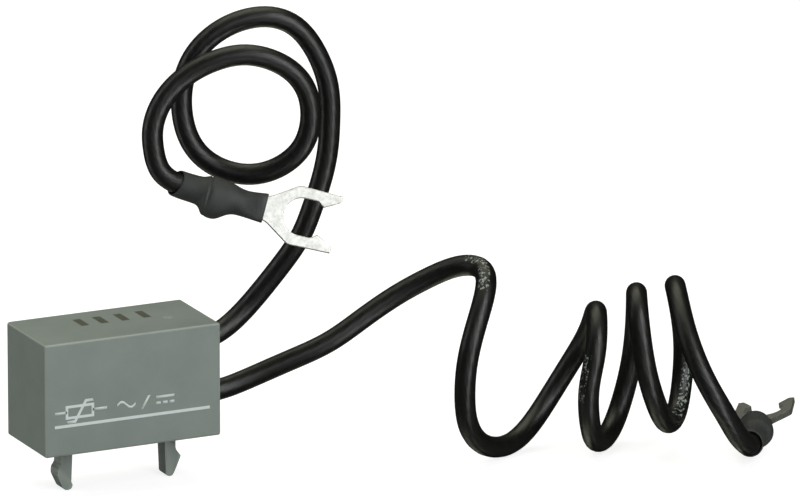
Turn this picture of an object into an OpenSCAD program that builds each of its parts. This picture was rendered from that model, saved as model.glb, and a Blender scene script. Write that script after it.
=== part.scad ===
// Varistor surge suppressor: a potted housing that clips in by two legs.
// Two leads come out of it and end in locking fork terminals.
// Origin: middle of the housing's underside. +X towards the leads, +Y into depth, +Z up. Millimetres.

/* [Housing] */
// Length of the housing along X
body_l = 25; // [23:0.5:30]
// Depth of the housing along Y
body_w = 12.4; // [11:0.2:16]
// Height of the housing above its underside
body_h = 15.1; // [14.8:0.1:18]
// Radius of the moulded edges
edge_r = 0.5; // [0.3:0.1:0.9]
// Thickness of the housing's walls
wall = 1.2; // [0.8:0.1:1.4]
// Depth of the resin's face below the open end's rim
resin_recess = 0.4; // [0.2:0.1:0.8]

/* [Snap legs] */
// Distance between the outer faces of the two legs
legs_span = 16.36; // [14:0.02:18]
// Thickness of a leg's shank along X
leg_t = 1.55; // [1.2:0.05:2]
// Width of a leg along Y
leg_w = 2.1; // [1.6:0.1:3]
// Length of a leg below the underside
leg_h = 6.5; // [6.5:0.05:7.5]
// How far a catch stands out from its shank
catch_d = 0.8; // [0.5:0.05:1.1]
// Depth of a catch's shoulder below the underside
catch_z = 3.6; // [3.2:0.1:4]
// Radius of a leg's rounded toe
toe_r = 0.58; // [0.5:0.02:0.7]

/* [Leads] */
// Diameter over the insulation
lead_d = 2.8; // [2.4:0.1:3]
// Diameter of the bare stranded conductor
wire_d = 1.6; // [1.2:0.1:1.8]
// Height of the lower lead's exit
exit_low = 4; // [3.8:0.1:4.2]
// Distance between the two exits
exit_gap = 7; // [6.6:0.1:7.2]

/* [Varistor] */
// Diameter of the coated disc
disc_d = 12; // [9:0.5:12]
// Thickness of the coated disc
disc_t = 4.4; // [3.4:0.2:6]
// Diameter of a varistor leg
pin_d = 0.8; // [0.6:0.1:1]

/* [Fork terminals] */
// Diameter of the seat for the terminal screw
seat_d = 4.9; // [4.3:0.1:5.3]
// Width over the two prongs
fork_w = 7.8; // [7.4:0.1:8.6]
// Width of the neck where it comes out of its sleeve
neck_w = 3.3; // [3:0.1:3.4]
// Width of the neck inside the sleeve
waist_w = 2.7; // [2.4:0.1:3]
// Thickness of the tinned plate
plate_t = 0.8; // [0.6:0.1:0.9]
// Distance from the lead's end to the middle of the seat
seat_x = 13.4; // [12.8:0.1:14.6]
// Distance from the middle of the seat to the prong tips
tip_x = 4.7; // [4.2:0.1:5.4]
// Opening between the locking hooks
hook_gap = 3.6; // [3.2:0.1:4]
// Outer diameter of the crimp barrel
barrel_d = 3.2; // [2.9:0.1:3.4]
// Length of the crimp barrel
barrel_l = 5; // [4:0.5:5.5]

/* [Heat-shrink sleeves] */
// Length of a sleeve
sleeve_l = 12; // [11:0.5:12.5]
// How far a sleeve reaches back over the insulation
sleeve_back = 3; // [2.5:0.5:3]
// Thickness of a sleeve where it grips the insulation
sleeve_t = 0.3; // [0.2:0.05:0.5]
// Largest diameter, over the crimp
sleeve_d = 5.3; // [4.8:0.1:5.4]
// Diameter behind the crimp's lump
sleeve_waist_d = 3.7; // [3.6:0.1:4]
// Diameter at the plate's end
sleeve_end_d = 3.9; // [3.8:0.1:4.4]

/* [Hidden] */
$fn = 64;

exit_high = exit_low + exit_gap;
lead_in = body_l / 2 - 3.5;
disc_gap = 0.8;
disc_x = -body_l / 2 + wall + disc_gap + disc_d / 2;
disc_z = (exit_low + exit_high) / 2;
pin_x = disc_x + 2.5;
splice_l = 5.2;
splice_d = 2.4;
splice_x = lead_in - splice_l - 0.6;
splice_mid = splice_x + splice_l / 2;

// Routes of the leads: points that a smooth curve is drawn towards, with the open end at this X.
route_mouth = 12.5;
upper_points = [
    [9, 0, exit_high], [12, 0, exit_high], [15.5, 0, exit_high], [19.5, 0.5, 15], [23, -1.5, 20],
    [25.5, -3.5, 24.5], [26.5, -4.5, 28.5], [27.5, -5.5, 32.5], [28.5, -5.5, 36.5], [28.5, -6, 41],
    [28.5, -6, 45.5], [27, -5.5, 50], [24.5, -4.5, 54], [20.5, -3.5, 55.5], [16, -2, 54.5],
    [12.5, -1, 52], [10.5, -0.5, 49], [9.5, -0.5, 45.5], [9.5, -1, 41.5], [10.5, -2, 38],
    [13, -3.5, 35.5], [16.5, -6, 34.5], [20, -8, 35.5], [23, -10, 38.5], [24, -10.5, 43],
    [23, -10.5, 47.5], [20, -9.5, 50.5], [15.5, -8, 52], [11.5, -6.5, 51], [8, -5, 49],
    [5, -4.5, 46], [3.5, -4.5, 42.5], [3.5, -5, 39.5], [4, -5.5, 36.5], [6, -6.5, 34.9], [9, -8, 34]
];
lower_points = [
    [9, 0, exit_low], [12, 0, exit_low], [15.5, 0, exit_low], [20, -0.5, 5.5], [24.5, -2, 7.5],
    [29.5, -3.5, 9.5], [34, -4, 12.5], [38.5, -5, 15.5], [42.5, -7, 18], [45.5, -9.5, 20],
    [47.5, -13, 20.5], [46.5, -16.5, 19], [44, -18.5, 15], [42, -19.5, 10.5], [42, -18.5, 5.5],
    [43, -17, 0], [46.5, -14.5, -4], [51.5, -12, -5.5], [56, -9.5, -4], [60, -8, 0],
    [62.5, -9.5, 5], [63.5, -12.5, 9.5], [62, -17, 14], [60, -21.5, 14.5], [58.5, -24.5, 10],
    [57.5, -23.5, 5], [59, -21.5, -1.5], [62, -17.5, -5], [66, -13.5, -5], [69, -11, -1.5],
    [70.5, -11, 4], [70, -13, 10], [68, -17, 15], [66, -21, 17], [64.5, -24.5, 14.5],
    [65, -25.5, 7.5], [67.5, -24, 1.5], [71, -20.5, -3], [74.5, -16.5, -2.5], [76.5, -14, 1.5],
    [77, -13.5, 7], [75, -15.5, 13], [72.5, -19, 17], [70.5, -24, 16.5], [69.5, -28.5, 12.5],
    [70, -32, 8], [71.5, -33.5, 4.5], [73.5, -33, 1.5], [75.5, -32, -1.5], [78, -30.5, -3.8],
    [79.5, -28, -3.8], [81, -25.5, -3.8]
];
upper_route = from_mouth(upper_points);
lower_route = from_mouth(lower_points);
// Turn of each terminal about its own length; heading and slope follow the end of its lead.
upper_roll = 70.5;
lower_roll = -8.5;

// A terminal's own frame: 0 is the lead's end, +X runs towards the prongs and +Z out of the plate's face.
plate_drop = 0.2;
plate_z = plate_drop - barrel_d / 2;
plate_x = 3.6;
barrel_x = 0.2;
barrel_end = barrel_x + barrel_l;
tip_end = barrel_end + 1;
sleeve_end = sleeve_l - sleeve_back;
grip_gap = 0.12;
neck_end = 7;
grip_d = lead_d + 2 * grip_gap;

function from_mouth(a) = [for (p = a) p + [body_l / 2 - route_mouth, 0, 0]];
function last(a) = a[len(a) - 1];
function end_way(a) = last(a) - a[len(a) - 2];
function unit(v) = v / norm(v);
function at(a, i) = i < 0 ? 2 * a[0] - a[1] : i == len(a) ? 2 * last(a) - a[i - 2] : a[i];
// Uniform cubic curve at its knots: where it passes, and which way it goes.
function passes(a, i) = (at(a, i - 1) + 4 * a[i] + at(a, i + 1)) / 6;
function way(a, i) = unit(at(a, i + 1) - at(a, i - 1));
// The side direction is carried from ring to ring, so that the tube doesn't twist.
function carried(side, w) = unit(side - w * (side * w));
function next_side(a, i, s) = i < len(a) ? carried(s, way(a, i)) : s;
function sides(a) = [
    for (i = 0, s = carried([0, 1, 0], way(a, 0)); i < len(a); i = i + 1, s = next_side(a, i, s)) s
];
function ring(p, w, s, r, n) = [
    for (k = [0:n - 1]) p + r * cos(360 * k / n) * s + r * sin(360 * k / n) * cross(w, s)
];
// Where the line from p touches the circle round c, on its left (1) or its right (-1) as seen from p.
function touch(p, c, r, side) =
    let (turn = atan2(p[1] - c[1], p[0] - c[0]) + side * acos(r / norm(p - c)))
    c + r * [cos(turn), sin(turn)];

module tube(a, d) {
    n = 8;
    m = len(a);
    side = sides(a);
    points = [for (i = [0:m - 1]) each ring(passes(a, i), way(a, i), side[i], d / 2, n)];
    walls = [
        for (i = [0:m - 2], k = [0:n - 1])
            [i * n + k, i * n + (k + 1) % n, (i + 1) * n + (k + 1) % n, (i + 1) * n + k]
    ];
    near = [for (k = [n - 1:-1:0]) k];
    far = [for (k = [0:n - 1]) (m - 1) * n + k];
    polyhedron(points, concat([near, far], walls), convexity = 10);
}

module along_x(d, x, l) {
    translate([x, 0, 0])
        rotate([0, 90, 0])
            cylinder(d = d, h = l);
}

// A profile with its radius along X and its length along Y, turned about the terminal's length.
module turned_along_x() {
    rotate([0, 90, 0])
        rotate_extrude()
            children();
}

module rounded(a, b) {
    offset_a = a / 2 - edge_r;
    offset_b = b / 2 - edge_r;
    square([a, b - 2 * edge_r], center = true);
    square([a - 2 * edge_r, b], center = true);
    for (x = [-offset_a, offset_a], y = [-offset_b, offset_b])
        translate([x, y])
            circle(r = edge_r);
}

// Every edge of the block is rounded: it is what three rounded bars have in common.
module block() {
    translate([0, 0, body_h / 2])
        intersection() {
            translate([0, 0, -body_h / 2])
                linear_extrude(body_h)
                    rounded(body_l, body_w);
            rotate([90, 0, 0])
                translate([0, 0, -body_w / 2])
                    linear_extrude(body_w)
                        rounded(body_l, body_h);
            rotate([90, 0, 90])
                translate([0, 0, -body_l / 2])
                    linear_extrude(body_l)
                        rounded(body_w, body_h);
        }
}

// Side view of the left leg. The shank's outer face and the underside are at 0, and the catch is on the left.
module leg_profile(heel) {
    root = 0.3;
    lip = 0.25;
    taper = 0.2;
    fillet = catch_d - 0.05;
    nose = [-catch_d, -catch_z - lip];
    toe = [leg_t - toe_r - 0.15, toe_r - leg_h];
    waist = [leg_t - taper, -leg_h + 1.2];
    heel_r = 0.37;
    difference() {
        union() {
            polygon([
                [0, root], [0, fillet - catch_z], [-catch_d, fillet - catch_z], nose,
                touch(nose, toe, toe_r, 1), touch(waist, toe, toe_r, -1), waist, [leg_t, root]
            ]);
            translate(toe)
                circle(r = toe_r);
            if (heel)
                translate([leg_t - heel_r, toe[1]])
                    circle(r = heel_r);
        }
        // the catch's shoulder is hollowed into its shank
        translate([-catch_d, fillet - catch_z])
            circle(r = fillet);
    }
}

module leg(heel) {
    translate([-legs_span / 2, leg_w / 2, 0])
        rotate([90, 0, 0])
            linear_extrude(leg_w)
                leg_profile(heel);
}

module cavity() {
    inner_l = body_l - wall;
    translate([-body_l / 2 + wall, -body_w / 2 + wall, wall])
        cube([inner_l, body_w - 2 * wall, body_h - 2 * wall]);
}

module housing() {
    color("#6F7671") {
        difference() {
            union() {
                block();
                leg(heel = true);
                mirror([1, 0, 0])
                    leg(heel = false);
            }
            cavity();
        }
    }
}

module potting() {
    color("#2B2D2C")
        difference() {
            intersection() {
                cavity();
                translate([-body_l / 2, -body_w / 2, 0])
                    cube([body_l - resin_recess, body_w, body_h]);
            }
            disc_shape();
            for (z = [exit_low, exit_high]) {
                translate([0, 0, z]) {
                    along_x(pin_d, pin_x, splice_x - pin_x + 0.1);
                    along_x(splice_d, splice_x, splice_l);
                    along_x(wire_d, splice_x + splice_l - 0.1, lead_in - splice_x - splice_l + 0.2);
                    along_x(lead_d, lead_in, body_l);
                }
            }
        }
}

module disc_shape() {
    edge = 1;
    translate([disc_x, 0, disc_z])
        rotate([90, 0, 0])
            rotate_extrude() {
                translate([0, -disc_t / 2])
                    square([disc_d / 2 - edge, disc_t]);
                translate([0, -disc_t / 2 + edge])
                    square([disc_d / 2, disc_t - 2 * edge]);
                for (y = [-disc_t / 2 + edge, disc_t / 2 - edge])
                    translate([disc_d / 2 - edge, y])
                        circle(r = edge);
            }
}

module varistor_disc() {
    color("#1F3F7A")
        difference() {
            disc_shape();
            for (z = [exit_low, exit_high])
                translate([0, 0, z])
                    along_x(pin_d, pin_x, disc_d);
        }
}

module pin(z) {
    color("#C9CACC")
        translate([0, 0, z])
            along_x(pin_d, pin_x, splice_mid - pin_x);
}

module splice(z) {
    color("#B8B9BA")
        translate([0, 0, z])
            difference() {
                along_x(splice_d, splice_x, splice_l);
                along_x(pin_d, splice_x - 1, splice_l);
                along_x(wire_d, splice_mid, splice_l);
            }
}

module strand(z) {
    color("#B87A4B")
        translate([0, 0, z])
            along_x(wire_d, splice_mid, lead_in - splice_mid);
}

module lead(route) {
    color("#141412")
        tube(route, lead_d);
}

// Places a terminal's pieces on the end of its lead.
module on_end(route, roll) {
    w = end_way(route);
    translate(last(route))
        rotate([0, 0, atan2(w[1], w[0])])
            rotate([0, -atan2(w[2], norm([w[0], w[1]])), 0])
                rotate([roll, 0, 0])
                    children();
}

// Round the wire, the sleeve grips the insulation and narrows behind the crimp.
module sleeve_on_wire() {
    grip = grip_d / 2 + sleeve_t;
    waist = sleeve_waist_d / 2;
    lip = 0.15;
    turned_along_x()
        polygon([
            [0, -sleeve_back], [grip - lip, -sleeve_back], [grip, lip - sleeve_back], [grip, 1.5],
            [waist, 4.4], [waist, tip_end], [0, tip_end]
        ]);
}

// Round the plate, it is centred on the plate and spreads a little towards its end.
module sleeve_on_plate() {
    waist = sleeve_waist_d / 2 - 0.1;
    far = sleeve_end_d / 2;
    lip = 0.15;
    translate([0, 0, plate_z + plate_t / 2])
        turned_along_x()
            polygon([
                [0, 3], [waist, 3], [waist, neck_end - 0.6], [far, sleeve_end - 0.6],
                [far, sleeve_end - lip], [far - lip, sleeve_end], [0, sleeve_end]
            ]);
}

// The crimp's lump has a steep shoulder towards the lead and runs out towards the waist.
module crimp_lump() {
    r = sleeve_d / 2;
    round = 0.7;
    start = 0;
    end = 3.2;
    turned_along_x() {
        translate([0, start])
            square([r - round, end - start]);
        translate([0, start + round])
            square([r, end - start - 2 * round]);
        for (x = [start + round, end - round])
            translate([r - round, x])
                circle(r = round);
        polygon([[0, end - round], [r - 0.2, end - 0.2], [sleeve_waist_d / 2, 4.4], [0, 4.4]]);
    }
}

module sleeve(route, roll) {
    skin = 0.35;
    lump_side = 0.4;
    lump_flat = 2.3;
    slope = 26;
    color("#2A2C2C")
        on_end(route, roll)
            difference() {
                union() {
                    sleeve_on_wire();
                    sleeve_on_plate();
                    translate([0, -lump_side, 0])
                        crimp_lump();
                }
                translate([-sleeve_l, -sleeve_l, -lump_flat - sleeve_l])
                    cube([2 * sleeve_l, 2 * sleeve_l, sleeve_l]);
                // behind the barrel it has shrunk onto the plate, flat below and sloping above
                translate([barrel_end, -sleeve_d, plate_z - skin - sleeve_d])
                    cube([sleeve_l, 2 * sleeve_d, sleeve_d]);
                translate([barrel_end, -sleeve_d, sleeve_waist_d / 2])
                    rotate([0, slope, 0])
                        cube([sleeve_l, 2 * sleeve_d, sleeve_d]);
                along_x(grip_d, -sleeve_back - 1, sleeve_back + 1 + barrel_x);
                along_x(barrel_d, barrel_x, barrel_l);
                along_x(wire_d, barrel_end - 0.1, tip_end - barrel_end + 0.1);
                plate()
                    plate_outline();
            }
}

module plate() {
    translate([seat_x, 0, plate_z])
        linear_extrude(plate_t)
            children();
}

// The plate from above, with the middle of its seat at 0.
module plate_outline() {
    half = [
        [plate_x - seat_x, waist_w / 2], [neck_end - seat_x, waist_w / 2], [sleeve_end - seat_x, neck_w / 2],
        [-1.1, fork_w / 2], [tip_x, fork_w / 2 - 0.1]
    ];
    polygon([for (p = half) p, for (i = [len(half) - 1:-1:0]) [half[i][0], -half[i][1]]]);
}

module fork_shape() {
    straight_x = 1.6;
    hook_x = 2.5;
    splay = 1.7;
    r = seat_d / 2;
    hook = hook_gap / 2;
    difference() {
        plate_outline();
        circle(r = r);
        // the way in between the prongs narrows to the locking hooks, then opens towards the tips
        polygon([
            [0, -r], [straight_x, -r], [hook_x, -hook], [tip_x + 1, -hook - splay],
            [tip_x + 1, hook + splay], [hook_x, hook], [straight_x, r], [0, r]
        ]);
    }
}

// Plate and barrel are one stamping: the barrel is rolled from the sheet, with its seam on top.
module fork(route, roll) {
    seam = 0.15;
    color("#C7C8C5")
        on_end(route, roll)
            difference() {
                union() {
                    along_x(barrel_d, barrel_x, barrel_l);
                    plate()
                        fork_shape();
                }
                along_x(wire_d, -1, tip_end + 1);
                translate([barrel_x - 1, -seam / 2, 0])
                    cube([barrel_l + 2, seam, barrel_d]);
            }
}

module tip(route, roll) {
    color("#B87A4B")
        on_end(route, roll)
            along_x(wire_d, 0, tip_end);
}

module varistor_leg_upper() { pin(exit_high); }
module varistor_leg_lower() { pin(exit_low); }
module splice_upper() { splice(exit_high); }
module splice_lower() { splice(exit_low); }
module strand_upper() { strand(exit_high); }
module strand_lower() { strand(exit_low); }
module lead_upper() { lead(upper_route); }
module lead_lower() { lead(lower_route); }
module sleeve_upper() { sleeve(upper_route, upper_roll); }
module sleeve_lower() { sleeve(lower_route, lower_roll); }
module fork_upper() { fork(upper_route, upper_roll); }
module fork_lower() { fork(lower_route, lower_roll); }
module tip_upper() { tip(upper_route, upper_roll); }
module tip_lower() { tip(lower_route, lower_roll); }

housing();
potting();
varistor_disc();
varistor_leg_upper();
varistor_leg_lower();
splice_upper();
splice_lower();
strand_upper();
strand_lower();
lead_upper();
lead_lower();
sleeve_upper();
sleeve_lower();
fork_upper();
fork_lower();
tip_upper();
tip_lower();
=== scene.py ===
# %% [markdown]
# # A varistor surge suppressor
# This small block of potted electronics snaps onto a contactor and takes the voltage spike out of its coil.
# It is a grey moulded cup filled with resin, on two springy legs,
# with two black leads that end in fork terminals.
# The lesson dresses a finished CAD model: each piece is made where the real one is, with +Z up.
# The frame comes first, because every piece rides on a body of it.

# %% Load the frame
import math
import bmesh
import bpy
from mathutils import Matrix, Vector


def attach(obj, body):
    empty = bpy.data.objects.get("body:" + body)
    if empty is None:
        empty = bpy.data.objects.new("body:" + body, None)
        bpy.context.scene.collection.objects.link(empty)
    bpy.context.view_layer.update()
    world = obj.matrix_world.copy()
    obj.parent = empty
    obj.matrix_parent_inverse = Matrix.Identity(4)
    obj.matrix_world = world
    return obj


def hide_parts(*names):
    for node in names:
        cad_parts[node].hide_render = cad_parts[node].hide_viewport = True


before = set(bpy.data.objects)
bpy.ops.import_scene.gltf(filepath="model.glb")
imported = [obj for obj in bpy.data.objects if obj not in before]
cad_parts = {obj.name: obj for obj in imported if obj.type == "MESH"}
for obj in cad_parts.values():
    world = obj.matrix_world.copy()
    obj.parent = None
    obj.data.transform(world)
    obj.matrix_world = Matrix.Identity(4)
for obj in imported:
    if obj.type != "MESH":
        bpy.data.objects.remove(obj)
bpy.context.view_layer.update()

print("nodes in the frame:", ", ".join(sorted(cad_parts)))

# %% [markdown]
# ## The camera
# A small product is usually shot from far away with a long lens, so that its edges stay nearly parallel.
# The edges of the block were measured in the picture, and a camera 1.5 m away was fitted to them.
# The picture is 800 pixels wide, and 512 mm of lens on a 36 mm sensor gives the size
# that the block has in it.
# A camera and a lamp both look at the object from a direction and a distance, so they share two helpers.

# %% Camera
MM = 0.001
# what the camera and the lamps are turned to
AIM = Vector((38.54, -6.21, 22.14)) * MM
SENSOR, LENS = 36, 512.4
AZIMUTH, ELEVATION, AWAY = 25.5, 15.84, 1.5


def towards(azimuth, elevation):
    """The way from the object to a camera or lamp. Azimuth 0 is in front of the print, 90 on its left."""
    a, e = math.radians(azimuth), math.radians(elevation)
    return Vector((-math.sin(a) * math.cos(e), -math.cos(a) * math.cos(e), math.sin(e)))


def set_up(made, way, far):
    """Puts a camera or lamp that far along the way, and turns it to the object."""
    made.location = AIM + way * far
    made.rotation_euler = (-way).to_track_quat("-Z", "Y").to_euler()
    bpy.context.collection.objects.link(made)


camera = bpy.data.objects.new("camera", bpy.data.cameras.new("camera"))
camera.data.sensor_width, camera.data.lens = SENSOR, LENS
camera.data.clip_start, camera.data.clip_end = 0.05, 60
set_up(camera, towards(AZIMUTH, ELEVATION), AWAY)
bpy.context.scene.camera = camera
bpy.context.scene.view_settings.view_transform = "Standard"
print("camera at", [round(x, 3) for x in camera.location])

# %% [markdown]
# ## Colours and nodes
# A colour is easiest to read as the hex value that a picture shows, but a shader works in linear light.
# One function turns the first into the second.
# A second one adds a shader node with its settings and links its inputs, so a material reads as a short list.
# An input is given by its name, or by its number where several inputs share a name:
# in Map Range 0 is the value, 1 to 2 the range that it comes from, and 3 to 4 the range that it goes to.
# A noise's scale counts its patches in a metre, so it is 1000 over the size of a patch in millimetres.

# %% Helpers for materials


def linear(code):
    """A hex colour as linear red, green, blue and 1."""
    parts = [int(code[i : i + 2], 16) / 255 for i in (1, 3, 5)]
    return [c / 12.92 if c <= 0.04045 else ((c + 0.055) / 1.055) ** 2.4 for c in parts] + [1]


def add(tree, kind, inputs=None, **settings):
    """Adds a node. inputs holds a value or another node's socket for each input, by name or number."""
    node = tree.nodes.new("ShaderNode" + kind)
    for key, value in settings.items():
        setattr(node, key, value)
    for key, value in (inputs or {}).items():
        if isinstance(value, bpy.types.NodeSocket):
            tree.links.new(value, node.inputs[key])
        else:
            node.inputs[key].default_value = value
    return node


def material(name):
    """A new material, its node tree and its shader."""
    made = bpy.data.materials.new(name)
    made.use_nodes = True
    return made, made.node_tree, made.node_tree.nodes["Principled BSDF"]


print("helpers ready; mid grey is", [round(c, 3) for c in linear("#808080")])

# %% [markdown]
# ## Moulded polyamide
# The housing is injection moulded in grey glass-filled polyamide.
# The mould was spark-eroded to a fine satin, so the surface scatters light softly and
# has no clear reflections.
# The eye gets an even grey with a faint cloudiness in patches of 6 mm, and a fine grain.
# The grain of the real one is about 0.05 mm; it is drawn at 0.12 mm so that it shows at all.
# Two things are paler: the edges, which carry a painted highlight where light would catch their rounding, and
# one small scuff on the top near the leads.
# Such a highlight could be painted on an image.
# Here the cup's mesh carries an attribute that says where its edges are,
# so nothing is painted again when a size changes.
# The scuff is a noise of 0.4 mm inside a small ball.

# %% Material of the housing
# the middle of the scuff, in metres
SCUFF = (0.0074, -0.0008, 0.01518)
moulding, tree, shader = material("polyamide_spark_eroded_grey")
place = add(tree, "TexCoord").outputs["Object"]
cloud = add(tree, "TexNoise", {"Vector": place, "Scale": 160, "Detail": 3, "Roughness": 0.6}).outputs[0]
grain = add(tree, "TexNoise", {"Vector": place, "Scale": 8000, "Detail": 2, "Roughness": 0.7}).outputs[0]
cloud = add(tree, "MapRange", {0: cloud, 1: 0.3, 2: 0.7}).outputs[0]
base = add(tree, "MixRGB", {0: cloud, 1: linear("#757E7A"), 2: linear("#7D8581")}).outputs[0]
# painted highlight: the attribute marks the edges' rounding, which is made paler as if lit
edges = add(tree, "Attribute", attribute_name="painted_edge_highlight").outputs["Fac"]
near = add(tree, "VectorMath", {0: place, 1: SCUFF}, operation="DISTANCE").outputs["Value"]
near = add(tree, "MapRange", {0: near, 1: 0.0009, 2: 0.0004}).outputs[0]
flaw = add(tree, "TexNoise", {"Vector": place, "Scale": 2500, "Detail": 1}).outputs[0]
flaw = add(tree, "MapRange", {0: flaw, 1: 0.42, 2: 0.5}).outputs[0]
scuff_and_edge_highlight = add(tree, "Math", {0: near, 1: flaw, 2: edges}, operation="MULTIPLY_ADD").outputs[0]
# the scuff, and the painted edge highlight, turn the base towards this pale grey
base = add(tree, "MixRGB", {0: scuff_and_edge_highlight, 1: base, 2: linear("#8F958F")}).outputs[0]
speck = add(tree, "MixRGB", {0: 0.06, 1: base, 2: grain}, blend_type="OVERLAY").outputs[0]
tree.links.new(speck, shader.inputs["Base Color"])
rough = add(tree, "MapRange", {0: grain, 3: 0.42, 4: 0.6}).outputs[0]
tree.links.new(rough, shader.inputs["Roughness"])
bump = add(tree, "Bump", {"Height": grain, "Distance": 0.00002, "Strength": 0.35}).outputs[0]
tree.links.new(bump, shader.inputs["Normal"])
shader.inputs["IOR"].default_value = 1.5
print("material", moulding.name)

# %% [markdown]
# ## From a bmesh to a piece
# Every piece is made in a bmesh, shaped there in millimetres, then scaled to metres and put in the scene.
# It hides the CAD nodes that it stands for, and rides on the one body of this part.
# A block with rounded edges also gets weighted normals.
# They keep its flat faces flat in the shading, right up to the rounding.

# %% Put a shape in the scene


def solid(name, bm, finish):
    """The shape in bm as an object in metres, shaded flat."""
    bmesh.ops.scale(bm, vec=(MM,) * 3, verts=bm.verts)
    mesh = bpy.data.meshes.new(name)
    bm.to_mesh(mesh)
    bm.free()
    mesh.materials.append(finish)
    made = bpy.data.objects.new(name, mesh)
    bpy.context.collection.objects.link(made)
    return made


def piece(name, bm, finish, stands_for=(), weighted=False):
    """A solid shaded smooth, with the CAD nodes that it stands for hidden, and put on its body."""
    made = solid(name, bm, finish)
    made.data.shade_smooth()
    if weighted:
        made.modifiers.new("even_shading", "WEIGHTED_NORMAL").weight = 100
    if stands_for:
        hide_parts(*stands_for)
    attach(made, "root")
    print(name, len(made.data.polygons), "faces")
    return made


print("a piece is scaled by", MM, "when it is put in the scene")

# %% [markdown]
# ## The leads
# Each lead is a stiff 2.8 mm wire that was bent by hand, and it keeps the shape it was given.
# Its route is a list of round points that a smooth curve is drawn towards,
# nearly the same points as in the CAD source.
# A curve could go through its points, but then a point that is a little off shows as a kink.
# A uniform cubic curve never kinks: between four points in a row it is a weighted mean of them.
# The curve becomes a tube with a UV map, so that the finish can follow the wire.

# %% Routes of the leads
UPPER = [
    (9, 0, 11), (12, 0, 11), (15.5, 0, 11.9), (19.5, 0.5, 14.7), (23, -1.5, 20), (25.5, -3.5, 24.5),
    (26.5, -4.5, 28.5), (27.5, -5.5, 32.5), (28.5, -5.5, 36.5), (28.5, -6, 41), (28.5, -6, 45.5),
    (27, -5.5, 50), (24.5, -4.5, 54), (20.5, -3.5, 55.5), (16, -2, 54.5), (12.5, -1, 52),
    (10.5, -0.5, 49), (9.5, -0.5, 45.5), (9.5, -1, 41.5), (10.5, -2, 38), (13, -3.5, 35.5),
    (16.5, -6, 34.5), (20, -8, 35.5), (23, -10, 38.5), (24, -10.5, 43), (23, -10.5, 47.5),
    (20, -9.5, 50.5), (15.5, -8, 52), (11.5, -6.5, 51), (8, -5, 49), (5, -4.5, 46), (3.5, -4.5, 42.5),
    (3.5, -5, 39.5), (4, -5.5, 36.5), (6, -6.5, 34.9), (9, -8, 34),
]
LOWER = [
    (9, 0, 4), (12, 0, 4), (15.5, 0, 4), (20, -0.5, 5.5), (24.5, -2, 7.5), (29.5, -3.5, 9.5),
    (34, -4, 12.5), (38.5, -5, 15.5), (42.5, -7, 18), (45.5, -9.5, 20), (47.5, -13, 20.5),
    (46.5, -16.5, 19), (44, -18.5, 15), (42, -19.5, 10.5), (42, -18.5, 5.5), (43, -17, 0),
    (46.5, -14.5, -4), (51.5, -12, -5.5), (56, -9.5, -4), (60, -8, 0), (62.5, -9.5, 5),
    (63.5, -12.5, 9.5), (62, -17, 14), (60, -21.5, 14.5), (58.5, -24.5, 10), (57.5, -23.5, 5),
    (59, -21.5, -1.5), (62, -17.5, -5), (66, -13.5, -5), (69, -11, -1.5), (70.5, -11, 4), (70, -13, 10),
    (68, -17, 15), (66, -21, 17), (64.5, -24.5, 14.5), (65, -25.5, 7.5), (67.5, -24, 1.5),
    (71, -20.5, -3), (74.5, -16.5, -2.5), (76.5, -14, 1.5), (77, -13.5, 7), (75, -15.5, 13),
    (72.5, -19, 17), (70.5, -24, 16.5), (69.5, -28.5, 12.5), (70, -32, 8), (71.5, -33.5, 4.5),
    (73.5, -33, 1.5), (75.5, -32, -1.5), (78, -30.5, -3.8), (79.5, -28, -3.8), (81, -25.5, -3.8),
]
LEAD_D = 2.8


def smooth_route(points, steps=6):
    """Points in millimetres on the uniform cubic curve that these points draw."""
    p = [Vector(x) for x in points]
    p = [2 * p[0] - p[1], *p, 2 * p[-1] - p[-2]]
    line = []
    for a, b, c, d in zip(p, p[1:], p[2:], p[3:]):
        for k in range(steps):
            t = k / steps
            weight_b, weight_c = 3 * t**3 - 6 * t * t + 4, 3 * t * (1 + t - t * t) + 1
            line.append(((1 - t) ** 3 * a + weight_b * b + weight_c * c + t**3 * d) / 6)
    return line + [p[-2]]


def length_of(line):
    return sum((b - a).length for a, b in zip(line, line[1:]))


upper_line, lower_line = smooth_route(UPPER), smooth_route(LOWER)
print("leads are", round(length_of(upper_line)), "and", round(length_of(lower_line)), "mm long")

# %% [markdown]
# ## PVC insulation
# The wire's jacket is black PVC, drawn through a die over a bundle of fine copper strands.
# It has a soft sheen. The strands lie in a twist, and they show through as faint slanting ribs.
# The ribs could be modelled, but they are a hundredth of a millimetre high, so a bump is enough.
# The die also leaves fine marks across the wire, about 0.4 mm apart, which break up the highlight.
# The eye gets near black with a broad grey highlight along the wire.
# Three stretches of the lower lead are chafed, and carry pale flecks of 0.4 mm.
# The UV map has u along the wire and v round it, so a rib is a wave in v that turns once
# with each lay of the strands.

# %% Material of the insulation
# the strands round the wire, and the millimetres in which they turn once
STRANDS, LAY = 14, 30
# the die's marks: millimetres from one to the next, and how many pieces they break into round the wire
MARK, BROKEN = 0.4, 5


def chafe(tree, along, turn, places):
    """1 in the flecks of the worn places, each given as (u, v, half of u, half of v)."""
    place = add(tree, "TexCoord").outputs["Object"]
    fleck = {"Vector": place, "Scale": 2600, "Detail": 3, "Roughness": 0.6}
    fleck = add(tree, "TexNoise", fleck).outputs[0]
    fleck = add(tree, "MapRange", {0: fleck, 1: 0.53, 2: 0.6}).outputs[0]
    there = 0
    for u, v, half_u, half_v in places:
        near = add(tree, "Math", {0: along, 1: u, 2: half_u}, operation="COMPARE").outputs[0]
        beside = add(tree, "Math", {0: turn, 1: v, 2: half_v}, operation="COMPARE").outputs[0]
        there = add(tree, "Math", {0: near, 1: beside, 2: there}, operation="MULTIPLY_ADD").outputs[0]
    return add(tree, "Math", {0: there, 1: fleck}, operation="MULTIPLY").outputs[0]


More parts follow.
